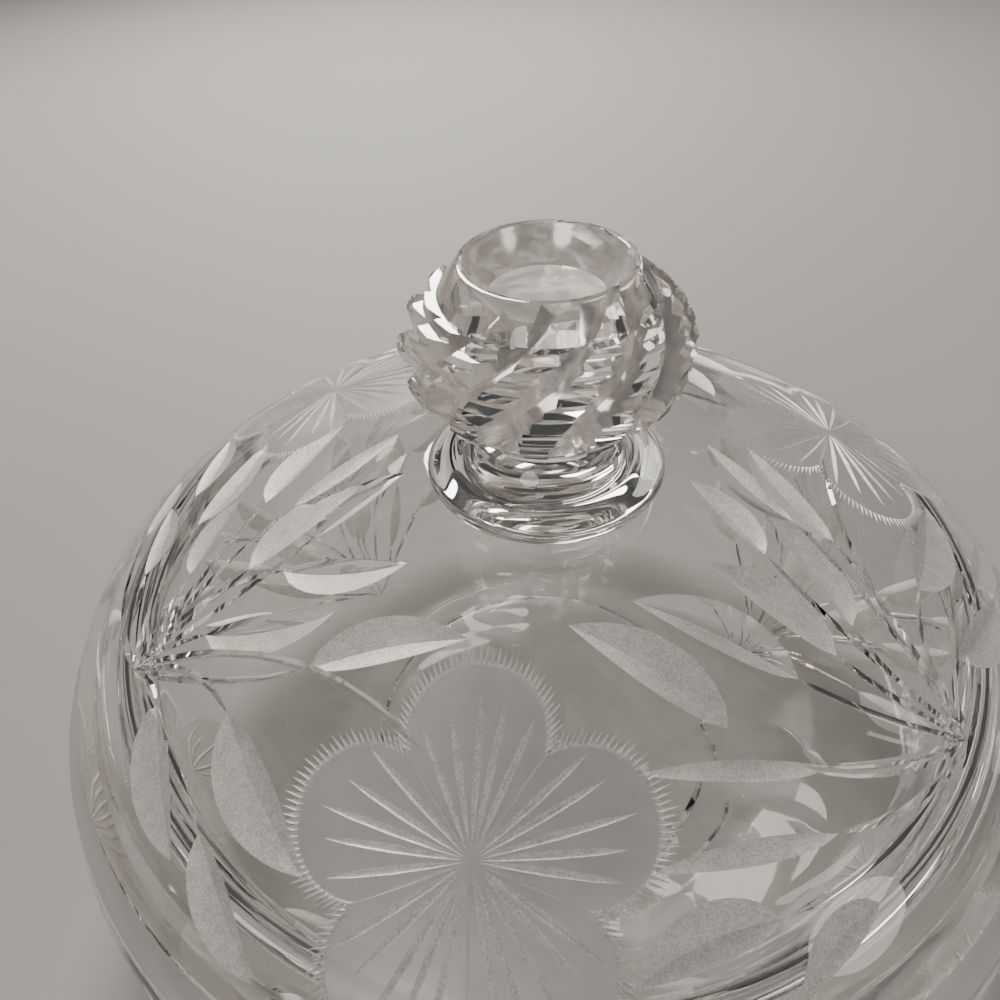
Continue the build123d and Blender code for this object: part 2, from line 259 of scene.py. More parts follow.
class RoundFace:
    """A face of revolution that can be engraved, laid out flat: a point of the chart has its polar angle
    and a distance from the chart's middle that changes with the arc length along the outline."""

    def __init__(self, outline, first, direction):
        points = np.array([tuple(p) for p in outline])
        along = np.concatenate([[0], np.cumsum(np.hypot(*np.diff(points, axis=0).T))])
        tangent = np.gradient(points, along, axis=0)
        tangent /= np.hypot(*tangent.T)[:, None]
        order = slice(None, None, direction)
        self.reach = (first + direction * along)[order]
        self.points = points[order]
        self.normals = np.stack([-tangent[:, 1], tangent[:, 0]], -1)[order]
        self.low, self.high = self.reach[0], self.reach[-1]

    def read(self, table, reach):
        return np.stack([np.interp(reach, self.reach, table[:, i]) for i in (0, 1)], -1)

    def place(self, chart, depth):
        """Points of the face below those points of the chart, and the normals there, in space."""
        reach = np.hypot(*chart.T)
        spot, normal = self.read(self.points, reach), self.read(self.normals, reach)
        normal /= np.hypot(*normal.T)[:, None]
        spot = spot - normal * depth[:, None]
        around = chart / np.maximum(reach, 1e-9)[:, None]
        return [np.column_stack([flat[:, :1] * around, flat[:, 1]]) for flat in (spot, normal)]

    def chart_reach(self, radius):
        """Distance on the chart of the circle with that radius, on a face whose radius grows with it."""
        return float(np.interp(radius, self.points[:, 0], self.reach))

    def height_reach(self, height):
        """Distance on the chart of the circle at that height, on a face whose height grows with it."""
        return float(np.interp(height, self.points[:, 1], self.reach))


def polar(reach, azimuth):
    """Chart point, with the azimuth in degrees from the front towards the right."""
    return np.array([reach * sin(radians(azimuth)), -reach * cos(radians(azimuth))])


# Cuts in the flat chart


class Groove:
    """A cut with a valley line: its path, its half width to the left and right of it, its depth along it,
    and the finish of its two sides. A hollow above 1 makes the sides round."""

    def __init__(self, path, left, right, depth, finishes, hollow=1.0, inner=0):
        self.path = np.array(path, float)
        self.widths = np.array([left, right], float)
        self.depths = np.array(depth, float)
        self.finishes, self.hollow, self.inner = finishes, hollow, inner
        along = np.gradient(self.path, axis=0)
        along /= np.hypot(*along.T)[:, None]
        self.across = np.stack([-along[:, 1], along[:, 0]], -1)
        self.low = self.path.min(0) - self.widths.max()
        self.high = self.path.max(0) + self.widths.max()

    def side(self, which, share):
        sign = 1 if which == 0 else -1
        return self.path + self.across * (sign * share * self.widths[which])[:, None]

    def lines(self):
        return [self.path, self.side(0, 1.0), self.side(1, 1.0)]

    def points(self):
        shares = [(k + 1) / (self.inner + 1) for k in range(self.inner)]
        return [p for which in (0, 1) for s in shares for p in self.side(which, s)[1:-1]]

    def measure(self, spots, grow=0.0):
        """Depth at those points, and which side of the valley they are on."""
        depth, where = np.zeros(len(spots)), np.zeros(len(spots), int)
        near = ((spots > self.low - grow) & (spots < self.high + grow)).all(1).nonzero()[0]
        if not len(near):
            return depth, where
        a, b = self.path[:-1], self.path[1:]
        run = b - a
        gap = spots[near][:, None] - a
        t = np.clip((gap * run).sum(2) / (run * run).sum(1), 0, 1)
        off = gap - run * t[..., None]
        far = np.hypot(off[..., 0], off[..., 1])
        best = far.argmin(1)
        rows = np.arange(len(near))
        station = best + t[rows, best]
        cross = run[best, 0] * off[rows, best, 1] - run[best, 1] * off[rows, best, 0]
        which = (cross < 0).astype(int)
        steps = np.arange(len(self.path))
        width = np.stack([np.interp(station, steps, w) for w in self.widths], -1)[rows, which] + grow
        share = far[rows, best] / np.maximum(width, 1e-9)
        profile = np.clip(1 - (share * 1.01) ** self.hollow, 0, 1)
        depth[near] = share < 1 if grow else np.interp(station, steps, self.depths) * profile
        where[near] = which
        return depth, where


def curve(start, bend, end, steps):
    """Points of the curve from start to end that bend pulls to itself."""
    t = np.linspace(0, 1, steps + 1)[:, None]
    return (1 - t) ** 2 * start + 2 * t * (1 - t) * bend + t**2 * end


def leaf(base, tip, look, bow, lean, polished, steps=11):
    """A long pointed frosted leaf with its vein to one side of the middle. Its half to the left of the vein
    is polished clear if polished is 1, and the other one if it is 2."""
    run = tip - base
    size = hypot(*run)
    square = np.array([-run[1], run[0]])
    path = curve(base, (base + tip) / 2 + square * bow * 2, tip, steps)
    t = np.linspace(0, 1, steps + 1)
    swell = (t**0.75 * (1 - t) ** 0.95) / (0.44**0.75 * 0.56**0.95)
    half = look.leaf_width * size * swell / 2
    finishes = tuple(CLEAR if polished == half_number else FROSTED for half_number in (1, 2))
    depth = look.leaf_depth * min(1.0, size / 0.024) * swell**0.8
    return Groove(path, half * (1 + lean), half * (1 - lean), depth, finishes, hollow=1.5, inner=2)


def stem(start, end, heading, width=0.0006, depth=0.0005, steps=10):
    """A fine groove from start to end, where it comes in along heading."""
    bend = end - heading / hypot(*heading) * hypot(*(end - start)) * 0.5
    path = curve(start, bend, end, steps)
    half = width * np.linspace(1.25, 0.75, steps + 1)
    half[0] = half[-1] = 0
    deep = np.full(steps + 1, depth)
    deep[0] = deep[-1] = 0
    return Groove(path, half, half, deep, (CLEAR, CLEAR))


class Flower:
    """Five ground petals with rays in them and a comb of fine spikes round them."""

    petals, teeth, rays = 5, 44, 5
    sector = 2 * pi / petals

    def __init__(self, centre, look, turned=0.0, scale=1.0):
        self.centre, self.look, self.scale = np.array(centre), look, scale
        self.radius = look.flower_radius * scale
        self.start = atan2(-centre[1], -centre[0]) + radians(turned)
        self.offset = self.radius * 0.614  # from the centre to the middle of a petal's round end
        self.round = self.radius - self.offset
        self.edge = 0.0005 * scale
        self.cuts = self.teeth_cuts() + self.ray_cuts()

    def spot(self, angle, reach):
        return self.centre + reach * np.array([cos(angle), sin(angle)])

    def reach(self, angle):
        """Distance from the centre to the outline at that angle."""
        off = (angle - self.start + self.sector / 2) % self.sector - self.sector / 2
        across = self.offset * np.sin(off)
        return self.offset * np.cos(off) + np.sqrt(np.maximum(self.round**2 - across**2, 0))

    def rim_spot(self, angle, inset=0.0):
        return self.spot(angle, float(self.reach(angle)) - inset)

    def roots(self):
        """Angles of the roots of all the spikes, evenly spaced along the petals' round ends: at the flower's
        centre, and at the middle of the petal's round end."""
        notch = self.sector / 2
        reach = float(self.reach(self.start + notch))
        ends = atan2(reach * sin(notch), reach * cos(notch) - self.offset)
        out = []
        for petal in range(self.petals):
            middle = self.start + petal * self.sector
            for i in range(self.teeth):
                a = ends * (2 * i / self.teeth - 1)
                x, y = self.offset + self.round * cos(a), self.round * sin(a)
                out.append((middle + atan2(y, x), a + middle))
        return out

    def lines(self):
        rings = [[self.rim_spot(a, inset) for a, _ in self.roots()] for inset in (0.0, self.edge)]
        return [np.array(ring + ring[:1]) for ring in rings]

    def measure(self, spots):
        """Depth of the petals at those points and the number of the petal there."""
        off = spots - self.centre
        angle, far = np.arctan2(off[:, 1], off[:, 0]), np.hypot(*off.T)
        inside = self.reach(angle) - far
        turned = angle - self.start + self.sector / 2
        share = (turned / self.sector) % 1
        petal = ((turned % (2 * pi)) // self.sector).astype(int)
        dish = 0.5 + 0.9 * share * np.clip(far / self.radius, 0, 1)
        depth = self.look.petal_depth * np.clip(inside / self.edge, 0, 1) * dish
        return np.where(inside > 1e-6, depth, 0), petal

    def teeth_cuts(self):
        """The comb: pointed mitre cuts that run out of the petals' edge."""
        out = []
        pitch = 2 * self.round * 1.9 / self.teeth
        for i, (angle, heading) in enumerate(self.roots()):
            if i % self.teeth == 0:
                continue
            root = self.rim_spot(angle)
            lean = angle + 0.35 * sin(heading - angle)
            way = np.array([cos(lean), sin(lean)])
            length = (0.0025 + 0.0005 * sin(i * 2.4)) * self.scale
            path = [root - way * 0.0009 * self.scale, root, root + way * length]
            half = [0.0, 0.33 * pitch, 0.0]
            out.append(Groove(path, half, half, [0, 0.0003, 0], (FROSTED, FROSTED)))
        return out

    def ray_cuts(self):
        """Long tapered mitre cuts from the middle of the flower, and the lines between its petals."""
        out = []
        deep = self.look.ray_depth
        for petal in range(self.petals):
            middle = self.start + petal * self.sector
            for i in range(self.rays):
                step = i - (self.rays - 1) / 2
                angle = middle + step * self.sector * 0.165 + 0.02 * sin(5 * petal + 2 * i)
                far = self.radius * (0.86 - 0.045 * abs(step) + 0.035 * sin(7 * petal + 3 * i))
                out.append(self.blade(angle, far, 0.00062, deep, FROSTED))
            seam = middle + self.sector / 2
            out.append(self.blade(seam, float(self.reach(seam)), 0.0003, deep * 0.6, SATIN))
        return out

    def blade(self, angle, far, half, depth, finish):
        near = 0.04 * self.radius
        taper = np.array([0.0, 0.6, 1.0, 0.75, 0.0])
        path = [self.spot(angle, near + (far - near) * share) for share in (0, 0.2, 0.5, 0.8, 1.0)]
        width = half * self.scale * taper
        return Groove(path, width, width, depth * taper, (finish, finish))


# Sprays of leaves on the dome: (distance from the axis in mm, degrees) of each leaf's base and tip, and
# which half of it is polished. The roots are to the left and to the right of the front.

LEFT_ROOT = (82, -64)
LEFT_LEAVES = [
    ((57, -42), (41, -17), 0), ((68, -61), (48, -47), 1), ((52, -64), (34, -44), 1),
    ((58, -69), (35, -83), 0), ((49, -82), (32, -110), 2), ((55.5, -86), (47, -112), 0),
    ((71, -86.5), (65, -107), 0), ((70, -75), (62, -90), 2), ((76, -95), (81, -111), 0),
    ((86, -90), (87, -102), 0), ((81, -80), (82, -94), 0), ((45, -69), (27, -85), 1),
    ((79, -57), (88, -40), 0), ((70, -47), (79, -25.5), 0), ((83, -39), (92, -26), 0),
]
RIGHT_ROOT = (82, 56)
RIGHT_LEAVES = [
    ((58, 28.5), (37, 6), 0), ((58, 43.5), (35, 24), 2), ((60, 52), (36, 50), 0), ((60, 59), (42, 76), 0),
    ((54, 76), (41.5, 103), 0), ((47, 77), (33, 104), 1), ((43, 63), (27, 82), 0), ((69, 38), (60, 13), 2),
    ((76, 34), (72, 12), 2), ((81, 24), (84, 8), 0), ((85, 34), (89.5, 23), 0), ((78, 66), (88, 82), 0),
    ((70, 74), (79, 95), 0), ((83, 81), (92, 94), 0),
]
# Half of a spray on the bowl: (height in mm, degrees from the spray's middle) of each leaf's base and tip.
BOWL_ROOT = (6, 0)
BOWL_LEAVES = [
    ((16, 4), (33, 8), 0), ((28, 6), (45, 11), 0), ((12, 10), (24, 19), 1), ((23, 14), (37, 22), 0),
    ((35, 15), (49, 22), 2), ((17, 21), (27, 31), 0), ((30, 24), (40, 34), 0), ((43, 25), (51, 35), 0),
]
BOWL_FLOWER_HEIGHT = 27
BOWL_FLOWER_SCALE = 0.72
FLOWER_PLACES = [(70.5, -8), (67.5, 112), (64.5, -128)]
FLOWER_TURN = 7.5
REPEATS = (0, 120, -120)


def spray(place, root, leaves, look):
    """Leaves with their stems, each of them put on the chart by place."""
    out = []
    foot = place(root)
    for base, tip, polished in leaves:
        start, end = place(base), place(tip)
        towards, from_foot = end - start, start - foot
        side = 1 if from_foot[0] * towards[1] > from_foot[1] * towards[0] else -1
        out.append(leaf(start, end, look, 0.05 * side, 0.26 * side, polished))
        out.append(stem(foot, start, towards))
    return out


# Meshes


def deselect():
    if bpy.context.object and bpy.context.object.mode != "OBJECT":
        bpy.ops.object.mode_set(mode="OBJECT")
    bpy.ops.object.select_all(action="DESELECT")


def activate(obj):
    deselect()
    obj.select_set(True)
    bpy.context.view_layer.objects.active = obj


def lathe(name, outline, steps):
    """A shell turned round the axis: a circle's points are moved onto the outline, and the circle is opened
    between the outline's ends and spun."""
    deselect()
    bpy.ops.mesh.primitive_circle_add(vertices=len(outline), radius=1.0)
    obj = bpy.context.object
    obj.name = obj.data.name = name
    add_finishes(obj.data)
    for vertex, point in zip(obj.data.vertices, outline):
        vertex.co = (point[0], 0, point[1])
    bpy.ops.object.mode_set(mode="EDIT")
    bpy.ops.mesh.select_all(action="DESELECT")
    bpy.ops.object.mode_set(mode="OBJECT")
    for edge in obj.data.edges:
        edge.select = set(edge.vertices) == {0, len(outline) - 1}
    bpy.ops.object.mode_set(mode="EDIT")
    bpy.ops.mesh.select_mode(type="EDGE")
    bpy.ops.mesh.delete(type="EDGE")
    bpy.ops.mesh.select_mode(type="VERT")
    bpy.ops.mesh.select_all(action="SELECT")
    bpy.ops.mesh.spin(steps=steps, angle=2 * pi, center=(0, 0, 0), axis=(0, 0, 1))
    bpy.ops.mesh.select_all(action="SELECT")
    bpy.ops.mesh.remove_doubles(threshold=1e-6)
    bpy.ops.object.mode_set(mode="OBJECT")
    return obj


def chart_mesh(face, cuts, basins, bands, grid, steps):
    """Points and triangles of the face's chart, with edges along every line of the cuts and bands."""
    points, edges = [], []

    def add_line(line, ring=False):
        first = len(points)
        points.extend(line)
        edges.extend((first + i, first + i + 1) for i in range(len(line) - 1))
        if ring:
            edges.append((len(points) - 1, first))

    limits = [r for low, high, _ in bands for r in (low, high) if face.low < r < face.high]
    circles = [r for r in (face.low, face.high, *limits) if r > 1e-6]
    around = [2 * pi * i / steps for i in range(steps)]
    for reach in circles:
        add_line([(reach * cos(a), reach * sin(a)) for a in around], ring=True)
    for cut in cuts:
        for line in cut.lines():
            add_line(line)
        points.extend(cut.points())
    for basin in basins:
        for line in basin.lines():
            add_line(line)
    points.extend(plain_points(face, cuts, circles, grid))
    kept = [Vector((float(x), float(y))) for x, y in points]
    spots, _, triangles, *_ = delaunay_2d_cdt(kept, edges, [], 0, 1e-7)
    chart = np.array([tuple(p) for p in spots])
    triangles = np.array([t for t in triangles if len(t) == 3])
    reach = np.hypot(*chart[triangles].mean(1).T)
    first, second, third = [chart[triangles[:, i]] for i in range(3)]
    area = np.cross(second - first, third - first)
    inside = (reach > face.low * cos(pi / steps)) & (reach < face.high) & (np.abs(area) > 1e-13)
    return chart, triangles[inside]


def engrave(name, face, cuts, basins, grid, steps, bands=()):
    """Makes a mesh of the face with its points sunk by the depth of the cuts. A band between two distances
    on the chart has its own finish where it isn't cut."""
    chart, triangles = chart_mesh(face, cuts, basins, bands, grid, steps)
    depth, _, _ = depths(chart, cuts, basins)
    reach = np.hypot(*chart.T)
    edge = np.abs(reach - face.high)
    if face.low > 1e-6:
        edge = np.minimum(edge, np.abs(reach - face.low))
    fade = 0.0006  # cuts run out before the face's own edges
    spots, normals = face.place(chart, depth * np.clip(edge / fade, 0, 1))
    middle = chart[triangles].mean(1)
    reach = np.hypot(*middle.T)
    _, marks, finish = depths(middle, cuts, basins)
    for low, high, band_finish in bands:
        inside = (reach > low) & (reach < high) & (marks == 0)
        finish = np.where(inside, band_finish, finish)
        marks = np.where(inside, -1 - band_finish, marks)
    obj = mesh_object(name, spots.tolist(), triangles.tolist())
    mesh = obj.data
    mesh.polygons.foreach_set("material_index", finish.astype(np.int32))
    mesh.attributes.new("mark", "INT", "FACE").data.foreach_set("value", marks.astype(np.int32))
    true = mesh.attributes.new("true_normal", "FLOAT_VECTOR", "POINT")
    true.data.foreach_set("vector", normals.astype(np.float32).ravel())
    return obj


def plain_points(face, cuts, circles, grid):
    """A triangular grid over the face's chart, without the points inside cuts or beside its circles."""
    side = face.high * 1.01
    rows = int(ceil(side / (grid * sqrt(0.75))))
    spots = np.array([
        ((column + 0.5 * (row % 2)) * grid, row * grid * sqrt(0.75))
        for row in range(-rows, rows + 1)
        for column in range(-int(side / grid) - 1, int(side / grid) + 2)
    ])
    reach = np.hypot(*spots.T)
    keep = (reach > face.low + grid * 0.4) & (reach < face.high - grid * 0.4)
    for circle in circles:
        keep &= np.abs(reach - circle) > grid * 0.35
    spots = spots[keep]
    taken = np.zeros(len(spots), bool)
    for cut in cuts:
        inside, _ = cut.measure(spots, grow=0.0004)
        taken |= inside > 0
    return spots[~taken]


def depths(spots, cuts, basins):
    """Depth, mark and finish at those points of the chart."""
    ground, ground_mark = np.zeros(len(spots)), np.zeros(len(spots), int)
    for i, basin in enumerate(basins):
        depth, petal = basin.measure(spots)
        ground = np.maximum(ground, depth)
        ground_mark = np.where(depth > 0, 1 + i * 8 + petal, ground_mark)
    cut, cut_mark = np.zeros(len(spots)), np.zeros(len(spots), int)
    finish = np.where(ground > 0, SATIN, CLEAR)
    for i, groove in enumerate(cuts):
        depth, side = groove.measure(spots)
        better = depth > np.maximum(cut, 1e-6)
        cut = np.where(better, depth, cut)
        cut_mark = np.where(better, 1000 + 2 * i + side, cut_mark)
        finish = np.where(better, np.array(groove.finishes)[side], finish)
    return ground + cut, np.where(cut > 0, cut_mark, ground_mark), finish


def weld(obj):
    """Closes the seams and poles of a mesh and turns its faces outwards."""
    activate(obj)
    bpy.ops.object.mode_set(mode="EDIT")
    bpy.ops.mesh.select_mode(type="VERT")
    bpy.ops.mesh.select_all(action="SELECT")
    bpy.ops.mesh.remove_doubles(threshold=4e-6)
    bpy.ops.mesh.dissolve_degenerate(threshold=1e-6)
    bpy.ops.mesh.select_all(action="SELECT")
    bpy.ops.mesh.normals_make_consistent(inside=False)
    bpy.ops.object.mode_set(mode="OBJECT")
    return obj


def join(name, pieces):
    deselect()
    for piece in pieces:
        piece.select_set(True)
    bpy.context.view_layer.objects.active = pieces[0]
    bpy.ops.object.join()
    obj = bpy.context.object
    obj.name = obj.data.name = name
    return weld(obj)


def gather(items, name, width=1, kind=np.float32):
    """The values that all the items have under that name."""
    values = np.zeros(len(items) * width, kind)
    items.foreach_get(name, values)
    return values.reshape(-1, width) if width > 1 else values


def smooth(obj, angle):
    """Smooth shading, with sharp edges past that angle."""
    activate(obj)
    bpy.ops.object.shade_smooth_by_angle(angle=radians(angle), keep_sharp_edges=False)
    return obj


def smooth_engraved(obj, angle):
    """Smooth shading, with sharp edges also round every cut, and the plain glass's true normals."""
    mesh = smooth(obj, angle).data
    mark = gather(mesh.attributes["mark"].data, "value", kind=np.int32)
    sharp = gather(mesh.edges, "use_edge_sharp", kind=bool)
    seen = {}
    for polygon in mesh.polygons:
        for loop in polygon.loop_indices:
            edge = mesh.loops[loop].edge_index
            if edge in seen and seen[edge] != mark[polygon.index]:
                sharp[edge] = True
            seen[edge] = mark[polygon.index]
    mesh.edges.foreach_set("use_edge_sharp", sharp)
    mesh.update()
    corners = gather(mesh.corner_normals, "vector", 3)
    true = gather(mesh.attributes["true_normal"].data, "vector", 3)
    true = true[gather(mesh.loops, "vertex_index", kind=np.int32)]
    sizes = gather(mesh.polygons, "loop_total", kind=np.int32)
    plain = np.repeat(mark == 0, sizes) & (np.abs((true * true).sum(1) - 1) < 1e-3)
    plain &= (corners * true).sum(1) > 0.9
    corners[plain] = true[plain]
    mesh.normals_split_custom_set(corners.tolist())
    for name in ("mark", "true_normal"):
        mesh.attributes.remove(mesh.attributes[name])
    return obj


def mesh_object(name, points, faces):
    mesh = bpy.data.meshes.new(name)
    mesh.from_pydata(points, [], faces)
    add_finishes(mesh)
    obj = bpy.data.objects.new(name, mesh)
    bpy.context.scene.collection.objects.link(obj)
    return obj


def add_finishes(mesh):
    for material in glass_materials():
        mesh.materials.append(material)


def finish_piece(obj, body, node):
    """Hangs the piece under the empty of the body that it moves with, and hides the imported solid that it
    replaces.
    """
    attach(obj, body)
    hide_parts(node)
    obj.select_set(False)


# Materials


class Value:
    """One output of a shader node, with the arithmetic that adds Math nodes."""

    def __init__(self, shader, socket):
        self.shader, self.socket = shader, socket

    def math(self, operation, *others):
        return self.shader.node("ShaderNodeMath", *others, settings={"operation": operation})

    def __add__(self, other):
        return self.math("ADD", self, other)

    def __radd__(self, other):
        return self.math("ADD", other, self)

    def __mul__(self, other):
        return self.math("MULTIPLY", self, other)

    def __rmul__(self, other):
        return self.math("MULTIPLY", other, self)


class Shader:
    """The node tree of one material."""

    def __init__(self, name):
        self.material = bpy.data.materials.new(name)
        self.material.use_nodes = True
        self.tree = self.material.node_tree
        self.tree.nodes.clear()
        self.place = self.node("ShaderNodeTexCoord", output="Object")

    def node(self, kind, *values, settings=None, output=0, **named):
        """Adds a node, sets it up, fills or links its inputs and gives its output."""
        made = self.tree.nodes.new(kind)
        for key, value in (settings or {}).items():
            if key == "stops":
                self.fill_ramp(made.color_ramp, value)
            else:
                setattr(made, key, value)
        named = {key.replace("_", " "): value for key, value in named.items()}
        for key, value in [*enumerate(values), *named.items()]:
            if isinstance(value, Value):
                self.tree.links.new(value.socket, made.inputs[key])
            elif value is not None:
                made.inputs[key].default_value = value
        return Value(self, made.outputs[output]) if len(made.outputs) else None

    @staticmethod
    def fill_ramp(ramp, stops):
        while len(ramp.elements) < len(stops):
            ramp.elements.new(1.0)
        for element, (position, value) in zip(ramp.elements, stops):
            element.position = position
            element.color = (value, value, value, 1)

    def noise(self, scale, detail=3.0, roughness=0.55, distortion=0.0):
        return self.node(
            "ShaderNodeTexNoise", Vector=self.place, Scale=scale, Detail=detail, Roughness=roughness,
            Distortion=distortion,
        )

    def from_axis(self):
        """Distance from the dish's axis."""
        flat = self.node("ShaderNodeVectorMath", self.place, (1, 1, 0), settings={"operation": "MULTIPLY"})
        return self.node("ShaderNodeVectorMath", flat, settings={"operation": "LENGTH"}, output=1)

    def ramp(self, value, *stops):
        return self.node("ShaderNodeValToRGB", value, settings={"stops": stops})

    def mix(self, share, first, second):
        """Mixes two colours. Sockets 0, 6 and 7 of the Mix node are the ones for colours."""
        sockets = [share, *[None] * 5, first, second]
        return self.node("ShaderNodeMix", *sockets, settings={"data_type": "RGBA"}, output=2)

    def shades(self, share, colour, dark, light):
        return self.mix(share, rgba(colour, dark), rgba(colour, light))

    def bump(self, height, strength, distance):
        return self.node("ShaderNodeBump", Strength=strength, Distance=distance, Height=height)

    def surface(self, shader):
        self.node("ShaderNodeOutputMaterial", Surface=shader)
        return self.material

    def glass(self, ior, light_through, **sockets):
        """Glass that throws a pale shadow, because that share of the lamps' light goes on through it."""
        glass = self.node("ShaderNodeBsdfPrincipled", IOR=ior, **sockets)
        shadow = self.node("ShaderNodeLightPath", output="Is Shadow Ray") * light_through
        clear = self.node("ShaderNodeBsdfTransparent")
        return self.surface(self.node("ShaderNodeMixShader", shadow, glass, clear))


def rgba(values, factor=1.0):
    return (*[v * factor for v in values], 1.0)


def clear_glass(name, look):
    """Polished glass, with faint wiping marks and fine wear."""
    s = Shader(name)
    smudge = s.ramp(s.noise(38.0, 4.0), (0.42, 0.0), (0.72, 1.0))
    specks = s.ramp(s.noise(1500.0, 2.0), (0.66, 0.0), (0.74, 1.0))
    return s.glass(
        look.ior, 0.6, Base_Color=s.shades(smudge * 0.5, look.tint, 1.0, 0.97), Transmission_Weight=1.0,
        Roughness=smudge * 0.035 + specks * 0.05 + 0.004, Normal=s.bump(s.noise(22.0, 1.0), 0.05, 0.001),
    )


def satin_glass(name, look):
    """Ground and half polished glass of the petals: light comes through it, but softly."""
    s = Shader(name)
    cloud = s.noise(160.0, 5.0)
    return s.glass(
        look.ior, 0.5, Base_Color=s.shades(s.ramp(cloud, (0.35, 0.0), (0.7, 1.0)), look.satin, 0.93, 1.05),
        Roughness=s.ramp(cloud, (0.3, 0.30), (0.75, 0.42)), Transmission_Weight=0.66,
        Normal=s.bump(s.noise(5200.0, 2.0), 0.22, 0.0001),
    )


def frosted_glass(name, look):
    """Rough wheel-ground glass of the leaves, rays and spikes, with the bright and dark grains of the stone.
    Its share of metal gives the silvery look of light that is turned back inside the glass."""
    s = Shader(name)
    grain = s.noise(2700.0, 4.0, 0.75)
    lines = s.noise(1200.0, 4.0, 0.5, 1.5)
    mask = s.ramp(s.noise(420.0, 4.0, 0.65) * 0.25 + grain * 0.75, (0.40, 0.0), (0.58, 1.0))
    return s.glass(
        look.ior, 0.3, Base_Color=s.shades(mask, look.frost, 0.68, 1.12), Metallic=0.4,
        Roughness=s.ramp(lines, (0.3, 0.42), (0.7, 0.68)), Transmission_Weight=0.38,
        Normal=s.bump(grain + lines * 0.5, 0.5, 0.00016),
    )


def facet_glass(name, look):
    """The knob's cuts and hollow, acid-polished, with a little haze and the wheel's fine streaks. The cuts
    mirror more than the hollow does."""
    s = Shader(name)
    cloud = s.noise(260.0, 4.0)
    streaks = s.noise(700.0, 3.0, 0.5, 2.0)
    outer = s.ramp(s.from_axis() * 10, (0.140, 0.0), (0.144, 1.0))
    return s.glass(
        look.ior, 0.6, Base_Color=s.shades(s.ramp(cloud, (0.35, 0.0), (0.68, 1.0)), look.facet, 0.86, 1.08),
        Roughness=s.ramp(cloud * 0.6 + streaks * 0.4, (0.35, 0.11), (0.65, 0.20)),
        Metallic=outer * 0.45 + 0.15, Transmission_Weight=0.6,
        Normal=s.bump(s.noise(4200.0, 2.0) + streaks * 0.5, 0.05, 0.00006),
    )


def fused_joint(name, look):
    """Faces where two pieces were joined hot: with glass on both sides, light runs straight through."""
    s = Shader(name)
    return s.surface(s.node("ShaderNodeBsdfPrincipled", Base_Color=(1, 1, 1, 1), Roughness=0.0, Alpha=0.0))


GLASSES = {
    "clear_cut_glass": clear_glass, "satin_ground_glass": satin_glass, "frosted_ground_glass": frosted_glass,
    "polished_facet_glass": facet_glass, "fused_joint_glass": fused_joint,
}


def glass_materials():
    """The five glass materials, in the order of their slots, made once."""
    for name, maker in GLASSES.items():
        if name not in bpy.data.materials:
            maker(name, settings().glass)
    return [bpy.data.materials[name] for name in GLASSES]


def floor_material(look):
    s = Shader("pale_floor")
    base = s.shades(s.noise(3.0, 2.0), look.floor, 0.97, 1.03)
    return s.surface(s.node("ShaderNodeBsdfPrincipled", Base_Color=base, Roughness=0.7))


def settings():
    return bpy.context.scene.covered_dish


# Operators, one for each piece


